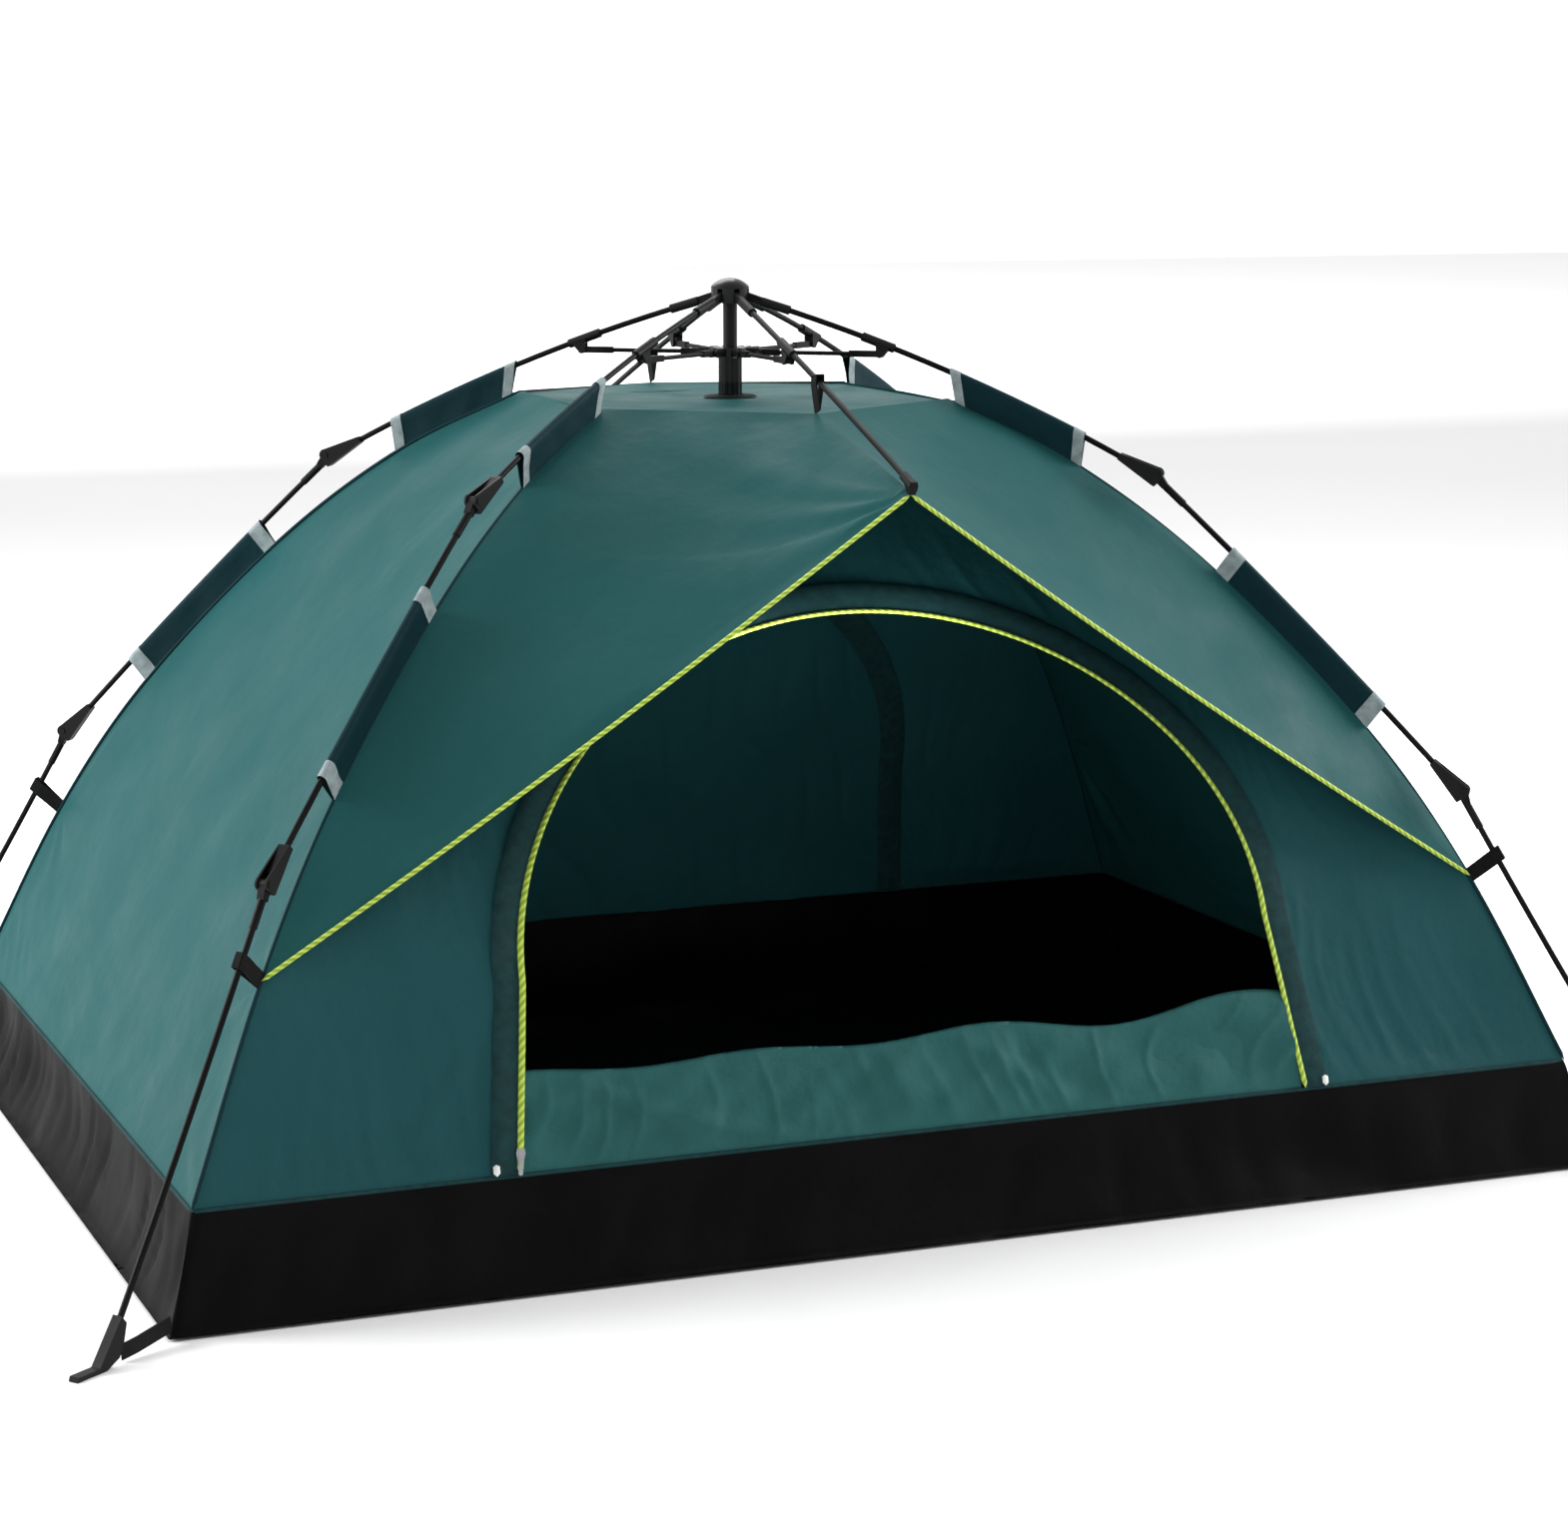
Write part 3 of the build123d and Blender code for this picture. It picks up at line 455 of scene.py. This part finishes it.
def end_wall(name, sign, seed):
    rows, cols = 60, 300
    inner = arch(0.0, cols)
    left = np.stack([-SEAM_LINE[::-1, 0] * COS, SEAM_LINE[::-1, 1]], 1)
    left = left[left[:, 1] < 1.039]
    outer = resample(np.vstack([left, left[::-1] * (-1, 1)]), cols)
    q = np.linspace(0, 1, rows)[:, None, None]
    flat = inner[None] * (1 - q) + outer[None] * q
    flat[:, 0, 1] = flat[:, -1, 1] = DOOR_LOW - 0.002
    grid = face(on_wall(flat, sign), (0, sign, 0.4))
    u, v = grid[..., 0], grid[..., 2]
    t = np.linspace(0, 1, rows)[:, None]
    free = np.sin(pi * np.clip(t * 1.02, 0, 1))
    lift = -0.008 * free + 0.0025 * free * ripple(u, v, seed, 0.22)
    lift += 0.0035 * crease(u, v, seed + 2, 0.09, 0.15) * np.exp(-t / 0.35) * (t > 0.01)
    low = np.exp(-np.clip(v - DOOR_LOW, 0, None) / 0.12)
    lift += 0.003 * low * crease(u, v, seed + 5, 0.11, 0.0) * free
    lift *= np.clip((v - DOOR_LOW) / 0.03, 0, 1)
    panel(name, grid, lift, WALL, [name])


def eave(name, sign, seed):
    """The shading panel from the corner seams and the roof out to the tip of the eave arm."""
    rows, cols = 110, 110
    seam = SEAM_LINE[SEAM_LINE[:, 1] >= SEAM[STRAP_SEAM, 1] - 0.001]
    seam = resample(seam, rows) + (0.003, 0.002)
    ridge_top, tip = np.array((0, sign * ROOF_END, ROOF_Z)), np.array((0, sign * EAVE_TIP[0], EAVE_TIP[1]))
    t = np.linspace(0, 1, rows)[:, None, None]
    s = np.linspace(0, 1, cols)[None, :, None]
    halves = []
    for side in (-1, 1):
        corner = np.stack([side * seam[:, 0] * COS, sign * seam[:, 0] * SIN, seam[:, 1]], 1)[:, None]
        ridge = ridge_top + t * (tip - ridge_top)
        top = ridge_top + s * (corner[0] - ridge_top)
        low = tip + s * (corner[-1] - tip)
        low = low - np.array((0, 0, 0.010)) * np.sin(pi * s)
        ends = ((1 - s) * (1 - t) * ridge_top + s * (1 - t) * corner[0]
                + (1 - s) * t * tip + s * t * corner[-1])
        halves.append((1 - t) * top + t * low + (1 - s) * ridge + s * corner - ends)
    grid = face(np.hstack([halves[0][:, ::-1], halves[1][:, 1:]]), (0, sign, 1))
    u, v = flat_uv(grid)
    across = np.linspace(-1, 1, grid.shape[1])[None, :]
    down = np.linspace(0, 1, rows)[:, None]
    edge = np.minimum(1, (1 - abs(across)) / 0.05) * np.minimum(1, (1 - down) / 0.05)
    edge = edge * np.minimum(1, down / 0.05)
    lift = -0.006 * np.sin(pi * down) * np.sin(pi * abs(across)) + edge * 0.002 * ripple(u, v, seed, 0.3)
    reach = v[:, 0].max()
    for at, strength in (((0, v[-1].min()), 0.004), ((u.min(), reach), 0.005), ((u.max(), reach), 0.005)):
        lift = lift + edge * strength * rays(u, v, at, seed + int(at[0] * 10), 0.2, 10)
    panel(name, grid, lift, GREEN, [name])
    for side, word in ((-1, "left"), (1, "right")):
        half = halves[0] if side < 0 else halves[1]
        edge_line = half[-1] + (0, sign * 0.002, -0.001)
        tube(f"{name}_piping_{word}", edge_line, 0.0035, LIME, flatten=0.8)


def roof():
    corners = [(0, -ROOF_END), (SEAM[0, 0] * COS, -SEAM[0, 0] * SIN), (SEAM[0, 0] * COS, SEAM[0, 0] * SIN),
               (0, ROOF_END), (-SEAM[0, 0] * COS, SEAM[0, 0] * SIN), (-SEAM[0, 0] * COS, -SEAM[0, 0] * SIN)]
    outline = resample(np.array(corners + corners[:1], float), 241)
    turn = np.arctan2(outline[:, 1], outline[:, 0])
    hole = 0.019 * np.stack([np.cos(turn), np.sin(turn)], 1)
    t = np.linspace(0, 1, 40)[:, None, None]
    flat = hole[None] * (1 - t) + outline[None] * t
    grid = face(np.dstack([flat, np.full(flat.shape[:2], ROOF_Z)]), (0, 0, 1))
    u, v = grid[..., 0], grid[..., 1]
    sag = np.sin(pi * np.linspace(0, 1, 40)[:, None])
    lift = -0.004 * sag + sag * 0.0015 * ripple(u, v, 31, 0.2)
    panel("roof_panel", grid, lift, GREEN, ["roof_panel"])
    turn = np.linspace(0, 2 * pi, 61)
    ring = [np.stack([half_x * np.cos(turn), half_y * np.sin(turn), np.full(61, z)], 1)
            for half_x, half_y, z in COLLAR_RINGS]
    grid = face(np.array(ring), (0, 0, 1))
    panel("roof_collar", grid, np.zeros(grid.shape[:2]), STRAP, [])


side_panel("side_panel_left", -1, 3)
side_panel("side_panel_right", 1, 5)
end_wall("front_wall", -1, 11)
end_wall("rear_wall", 1, 14)
eave("front_eave", -1, 21)
eave("rear_eave", 1, 24)
roof()


# ---------------------------------------------------------------- doors and zips
def door_half(z):
    """Half the door's width at a height."""
    rise = np.clip((z - DOOR_SPRING) / (DOOR_TOP - DOOR_SPRING), 0, 1)
    low = DOOR_HALF_LOW + (DOOR_HALF - DOOR_HALF_LOW) * (z - DOOR_LOW) / (DOOR_SPRING - DOOR_LOW)
    return np.where(z < DOOR_SPRING, low, DOOR_HALF * np.sqrt(1 - rise**2))


def rear_door():
    rows, cols = 120, 160
    turn = np.linspace(0, pi / 2, rows)
    z = DOOR_LOW + (DOOR_TOP - 0.004 - DOOR_LOW) * np.sin(turn)
    w = np.linspace(-1, 1, cols)[None, :]
    flat = np.stack([w * (door_half(z) - 0.003)[:, None], np.repeat(z[:, None], cols, 1)], -1)
    grid = face(on_wall(flat, 1), (0, 1, 0.4))
    u, v = grid[..., 0], grid[..., 2]
    free = np.minimum(1, (1 - abs(w)) / 0.1)
    lift = -0.004 * free + free * (0.003 * ripple(u, v, 41, 0.2) + 0.003 * crease(u, v, 42, 0.13, 0.3))
    panel("rear_door", grid, lift, WALL, ["rear_door"])


def front_door():
    """The open door, dropped and folded in six layers along the sill, as deep as the sill."""
    rise, back = SILL_TOP - DOOR_LOW, 0.100
    heights = [
        (0.0, 0.0005), (rise, 0.001), (rise - back, 0.0045), (rise - 0.012, 0.0075),
        (rise - back, 0.010), (rise - 0.02, 0.0125), (rise - back, 0.0135),
    ]
    path = [(heights[0][1], heights[0][0])]
    for (z0, d0), (z1, d1) in zip(heights, heights[1:]):
        turn = np.linspace(0, 1, 30)[1:]
        path += [(d0 + (d1 - d0) * (3 * t**2 - 2 * t**3), z0 + (z1 - z0) * t) for t in turn]
    path = np.array(path)
    along = np.r_[0, np.cumsum(np.linalg.norm(np.diff(path, axis=0), axis=1))]
    keep = along <= DOOR_TOP - DOOR_LOW
    path, along = path[keep], along[keep]
    cols = 260
    w = np.linspace(-1, 1, cols)[None, :]
    half = np.maximum(door_half(DOOR_LOW + along * 0.985), 0.03)[:, None]
    x = w * (half - 0.004)
    height = path[:, 1:] / rise
    slump = 0.018 * ripple(x, 0 * x, 61, 0.5) - 0.018 * np.exp(-((x + 0.36) / 0.16) ** 2)
    z = DOOR_LOW + path[:, 1:] + slump * np.clip(height, 0, 1) ** 1.5
    crumple = 0.45 * crease(x, z, 62, 0.30, 1.2, 0.6) + 0.25 * crease(x, z, 65, 0.13, 0.4, 1.4)
    crumple = crumple + 0.35 * ripple(x, z, 63, 0.22, 0.8, 2.0, 12)
    crumple = crumple + 0.2 * ripple(x, z, 64, 0.07, 1.2, 2.5, 12)
    swell = np.sin(pi * np.clip(height, 0.0, 1.0)) ** 0.6
    depth = path[:, :1] + 0.0 * x
    y = -(seam_r(z) * SIN - depth) + 0 * x
    grid = np.stack([x, y, z], -1)
    lift = (0.015 * crumple + 0.004) * swell * (along[:, None] < rise * 1.02)
    grid[..., 1] -= lift
    grid = face(grid, (0, -1, 0.2))
    level = np.zeros(grid.shape[:2])
    panel("front_door", grid, level, DOOR, ["front_door"])


def zips():
    for word, sign in (("front", -1), ("rear", 1)):
        count = 260
        line = on_wall(arch(0.0, count), sign, 0.004)
        made = tube(f"{word}_door_zip", line, 0.0042, LIME, flatten=0.7)
        if sign < 0:
            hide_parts("door_zips")
        flap = [on_wall(arch(d, count), sign, h) for d, h in
                ((0.002, 0.0025), (0.010, 0.0045), (0.024, 0.0045), (0.034, 0.003), (0.037, 0.0008))]
        grid = face(np.array(flap), (0, sign, 0.4))
        u, v = flat_uv(grid)
        waves = 0.0008 * ripple(v, u, 71, 0.06, 0, 0.4)
        panel(f"{word}_zip_flap", grid, waves, TAPE, [])
        if sign > 0:
            hem = [on_wall(arch(d, count), sign, -h) for d, h in
                   ((-0.020, 0.006), (-0.012, 0.0085), (0.014, 0.0085), (0.022, 0.006))]
            grid = face(np.array(hem), (0, -sign, 0.4))
            panel("rear_zip_inner_flap", grid, waves[:4], TAPE, [])
        for side, end in (("left", 0), ("right", -1)):
            foot = arch(0.030, count)[end]
            spot = on_wall([foot, foot + (0, 0.004), foot + (0, 0.012), foot + (0, 0.014)], sign, 0.006)
            tube(f"{word}_zip_stop_{side}", spot, 0.0045, WHITE, flatten=0.5)


rear_door()
front_door()
zips()


# ---------------------------------------------------------------- waterproof tub
def tub():
    rows_up, rows_floor, per_side = 40, 40, 130
    high, low = SEAM[-1], (FLOOR_CORNER, 0.0)
    corners = [(1, -1), (1, 1), (-1, 1), (-1, -1), (1, -1)]
    base = np.vstack([np.linspace(a, b, per_side, endpoint=False) for a, b in zip(corners, corners[1:])])
    base = np.vstack([base, base[:1]])
    rings, mids = [], 1 - np.abs(base).min(axis=1) ** 2
    share = np.linspace(0.02, 1, rows_floor)
    for k in share:
        r = FLOOR_CORNER * k
        flat = np.stack([base[:, 0] * r * COS, base[:, 1] * r * SIN, 0 * base[:, 0]], 1)
        flat[:, 2] = 0.0035 + 0.0022 * ripple(flat[:, 0], flat[:, 1], 81, 0.25) * min(1, (1 - k) * 8)
        flat[:, 2] = np.clip(flat[:, 2], 0.0008, None)
        rings.append(flat)
    for k in np.linspace(0, 1, rows_up)[1:]:
        r = low[0] + (high[0] - low[0]) * k
        z = 0.0008 + (high[1] - 0.0005) * k
        bow = mids * (0.010 * (1 - k) + 0.012 * np.sin(pi * k))
        x = base[:, 0] * r * COS - np.sign(base[:, 0]) * (abs(base[:, 0]) > 0.999) * bow
        y = base[:, 1] * r * SIN - np.sign(base[:, 1]) * (abs(base[:, 1]) > 0.999) * bow
        rings.append(np.stack([x, y, np.full(len(base), z)], 1))
    grid = face(np.array(rings), (0, 0, -1))
    around = np.linspace(0, 7.0, grid.shape[1])[None, :]
    u, v = around + 0 * grid[..., 0], flat_uv(grid)[1]
    level = grid[..., 2] / high[1]
    on_walls = np.arange(len(rings))[:, None] >= rows_floor
    free = np.where(on_walls, np.sin(pi * np.clip(level, 0, 1)) ** 0.7, 0)
    lift = free * (0.0045 * ripple(u, v, 82, 0.30) + 0.004 * crease(u, v, 83, 0.24, 0.3, 0.5))
    obj = mesh_of("bathtub_cloth", grid - normals(grid) * lift[..., None], (u, v), TUB)
    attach(obj, ROOT)
    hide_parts("bathtub_floor")
    collapse(obj)
    rim = [(sx * high[0] * COS, sy * high[0] * SIN, high[1] + 0.001) for sx, sy in corners]
    rim = resample(np.array(rim, float), 400)
    tube("tub_rim_seam", rim, 0.0026, TAPE)


tub()


# ---------------------------------------------------------------- sleeves, straps and seams
def pocket(name, leg, rod_line, rod_span, seam_span, body):
    """A sewn pocket: a web from the corner seam that wraps the pole, with bound ends."""
    count, round_count = 26, 14
    pole = span_of(arc(rod_line, 200), *rod_span, count)
    seam = span_of(SEAM_LINE, *seam_span, count)
    turn = np.linspace(-pi / 2, pi / 2, round_count)
    rows = []
    for i, (p, q) in enumerate(zip(pole, seam)):
        out = (p - q) / np.linalg.norm(p - q)
        reach = np.linalg.norm(p - q)
        web = [
            (q, 0.0012),
            (q + out * reach * 0.45, 0.002 + 0.0012 * sin(i * 0.8)),
            (q + out * (reach - 0.010), 0.0045),
        ]
        row = [(point, -across) for point, across in web]
        row += [(p + out * 0.0062 * np.cos(a), 0.0062 * np.sin(a)) for a in turn]
        row += web[::-1]
        rows.append([at_leg(leg, point, across) for point, across in row])
    grid = np.array(rows)
    obj = mesh_of(name, grid, flat_uv(grid), SLEEVE)
    made = [obj]
    for k, rows_of in enumerate((slice(0, 3), slice(count - 3, count))):
        part = grid[rows_of]
        part = part + face_normal_out(part) * 0.0008
        made.append(mesh_of(f"{name}_binding_{k + 1}", part, flat_uv(part), BINDING))
    for piece in made:
        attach(piece, body)
    first, last = at_leg(leg, pole[0]), at_leg(leg, pole[-1])
    inward = at_leg(leg, seam[count // 2]) - at_leg(leg, pole[count // 2])
    along = (last - first) / np.linalg.norm(last - first)
    inward -= along * (inward @ along)
    inward /= np.linalg.norm(inward)
    for piece in made:
        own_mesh(piece)
    return obj


def face_normal_out(grid):
    """Normals that point away from the middle of a closed loft."""
    n = normals(grid)
    centre = grid.mean(axis=1, keepdims=True)
    return n * np.sign(((grid - centre) * n).sum(axis=2, keepdims=True))


def strap(name, line, across, width, body, anchor=None):
    """Flat webbing along a line, with thickness."""
    line = np.array(line, float)
    across = np.array(across, float) / np.linalg.norm(across)
    t = np.gradient(line, axis=0)
    t /= np.linalg.norm(t, axis=1, keepdims=True)
    up = np.cross(t, across)
    rows = []
    for p, n in zip(line, up):
        a, b = p - across * width / 2, p + across * width / 2
        rows.append([a - n * 0.0009, b - n * 0.0009, b + n * 0.0009, a + n * 0.0009])
    grid = np.array(rows)
    obj = mesh_of(name, grid, flat_uv(grid), STRAP, closed=True)
    obj.data.shade_flat()
    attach(obj, body)
    if anchor is not None:
        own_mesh(obj)
    return obj


first_sleeve, first_strap = None, None
for leg, (sx, sy) in LEGS.items():
    arm, middle, lower = f"arm_{leg}", f"middle_leg_{leg}", f"lower_leg_{leg}"
    upper_sleeve = pocket(f"upper_sleeve_{leg}", leg, ARM_ROD, (0.319, 0.509), (0.326, 0.504), arm)
    pocket(f"lower_sleeve_{leg}", leg, MIDDLE_ROD, (0.715, 0.929), (0.693, 0.906), middle)
    first_sleeve = first_sleeve or upper_sleeve

    normal = at_leg(leg, (0, 0), 1.0)
    rod = arc(LOWER_ROD, 200)
    hold = rod[np.argmin(abs(rod[:, 0] - 1.089))]
    slant = (rod[-1] - rod[0]) / np.linalg.norm(rod[-1] - rod[0])
    inner = SEAM[STRAP_SEAM] + (0.001, 0)
    for k, side in ((1, 1), (2, -1)):
        reach = hold - inner
        line = [inner, inner + reach * 0.5, hold - reach * 0.12, hold + reach * 0.18]
        points = [at_leg(leg, p, side * w) for p, w in zip(line, (0.0012, 0.003, 0.0055, 0.0052))]
        made = strap(f"corner_strap_{leg}_{k}", points, at_leg(leg, slant), 0.020, lower, at_leg(leg, hold))
        first_strap = first_strap or made
    ring = [at_leg(leg, hold + reach * 0.18, w) for w in np.linspace(-0.0055, 0.0055, 5)]
    strap(f"corner_strap_{leg}_3", ring, at_leg(leg, slant), 0.020, lower, at_leg(leg, hold))

    foot = [(FLOOR_CORNER - 0.004, 0.022), (1.262, 0.018), (1.292, 0.014), (1.320, 0.012)]
    strap(f"foot_strap_{leg}", [at_leg(leg, p) for p in foot], at_leg(leg, (0.12, 1.0)), 0.020, lower,
          at_leg(leg, (1.33, 0.016)))

for word, sign in (("front", -1), ("rear", 1)):
    top, low = np.array((0, sign * 0.324, 1.086)), np.array((0, sign * 0.324, 1.044))
    for k, side in ((1, 1), (2, -1)):
        line = [
            low, low + (side * 0.003, 0, 0.02),
            top + (side * 0.0055, 0, -0.004), top + (side * 0.0055, 0, 0.005),
        ]
        strap(f"roof_strap_{word}_{k}", line, (0, 1, -0.35), 0.018, f"arm_{word}", top)
    cap = [top + (w, 0, 0.0055) for w in np.linspace(-0.006, 0.006, 5)]
    strap(f"roof_strap_{word}_3", cap, (0, 1, -0.35), 0.018, f"arm_{word}", top)
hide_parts("corner_sleeves")
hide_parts("frame_straps")

for leg in LEGS:
    seam = at_leg(leg, resample(SEAM_LINE, 120) + (0.001, 0.001))
    tube(f"corner_seam_{leg}", seam, 0.0028, SLEEVE)


# ---------------------------------------------------------------- ribbed runner
def runner():
    """The runner's sleeve, moulded with ribs along it."""
    low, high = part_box("runner_sleeve")
    outer = (high.x - low.x) / 2
    turn = np.linspace(0, 2 * pi, 144, endpoint=False)
    ribs = 0.0007 * (np.cos(16 * turn) > 0.2)
    profile = [
        (0.0102, low.z), (outer - 0.0015, low.z), (outer - 0.0003, low.z + 0.0015),
        (outer - 0.0003, low.z + 0.006), (outer - 0.0008, low.z + 0.008),
        (outer - 0.0008, high.z - 0.012), (outer, high.z - 0.010),
        (outer, high.z - 0.001), (outer - 0.001, high.z), (0.0102, high.z),
    ]
    rows = [np.stack([(r - 0.0007 * (2 <= i <= 6) + ribs * (3 <= i <= 6)) * np.cos(turn),
                      (r - 0.0007 * (2 <= i <= 6) + ribs * (3 <= i <= 6)) * np.sin(turn),
                      np.full(144, z)], 1) for i, (r, z) in enumerate(profile)]
    grid = np.array(rows)
    around = np.tile(turn * outer, (len(rows), 1))
    obj = mesh_of("ribbed_sleeve", grid, (around, grid[..., 2]), HUB, closed=True)
    obj.data.shade_flat()
    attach(obj, "runner")
    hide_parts("runner_sleeve")


runner()


# ---------------------------------------------------------------- studio
def area_light(name, place, aim, size, power, color=(1, 1, 1)):
    data = bpy.data.lights.new(name, "AREA")
    data.size, data.energy, data.color = size, power, color
    obj = bpy.data.objects.new(name, data)
    obj.location = place
    direction = np.array(aim, float) - np.array(place, float)
    yaw, flat = np.arctan2(direction[0], direction[1]), hypot(direction[0], direction[1])
    obj.rotation_euler = Euler((np.arctan2(direction[2], flat) + pi / 2, 0, -yaw))
    bpy.context.scene.collection.objects.link(obj)


bpy.ops.mesh.primitive_plane_add(size=60, location=(0, 0, -0.0005))
floor = bpy.context.object
floor.name = "studio_floor"
ground = Look("pale_floor", 0.8)
ground.spread("Base Color", 0.6, (0.94, 0.94, 0.94), (0.96, 0.96, 0.96))
ground.raise_by(ground.noise(40, 3.0), 0.05, 0.002)
floor.data.materials.append(ground.material)

world = bpy.data.worlds.new("studio")
world.use_nodes = True
backdrop = world.node_tree.nodes["Background"]
backdrop.inputs["Color"].default_value = (1, 1, 1, 1)
toward = world.node_tree.nodes.new("ShaderNodeTexCoord")
parts = world.node_tree.nodes.new("ShaderNodeSeparateXYZ")
level = world.node_tree.nodes.new("ShaderNodeMapRange")  # a studio that is brightest behind the tent
level.inputs["From Min"].default_value = -1
level.inputs["To Min"].default_value = 0.55
level.inputs["To Max"].default_value = 1.2
world.node_tree.links.new(toward.outputs["Generated"], parts.inputs["Vector"])
world.node_tree.links.new(parts.outputs["Y"], level.inputs["Value"])
world.node_tree.links.new(level.outputs["Result"], backdrop.inputs["Strength"])
bpy.context.scene.world = world
bpy.context.scene.view_settings.view_transform = "Standard"
area_light("key_left", (-5.2, 1.6, 2.6), (0, 0, 0.4), 2.5, 290)
area_light("fill_right", (5.2, -0.8, 3.0), (0, 0, 0.5), 3.0, 320)
area_light("top_back", (0.5, 3.6, 4.5), (0, 0, 0.5), 3.0, 120)
area_light("through_door", (-0.05, -0.52, 0.60), (0.15, 0.8, 0.42), 0.35, 3.0)
area_light("back_wash", (3, 14, 8), (3, 30, 0), 10, 1600)

camera_data = bpy.data.cameras.new("camera")
camera = bpy.data.objects.new("camera", camera_data)
bpy.context.scene.collection.objects.link(camera)
camera.location = (-1.8911, -4.8914, 1.4279)
camera.rotation_euler = (radians(90 - 9.89), 0, radians(-21.97))
camera_data.sensor_width = 36
camera_data.lens = 84.7
camera_data.clip_end = 100
bpy.context.scene.camera = camera
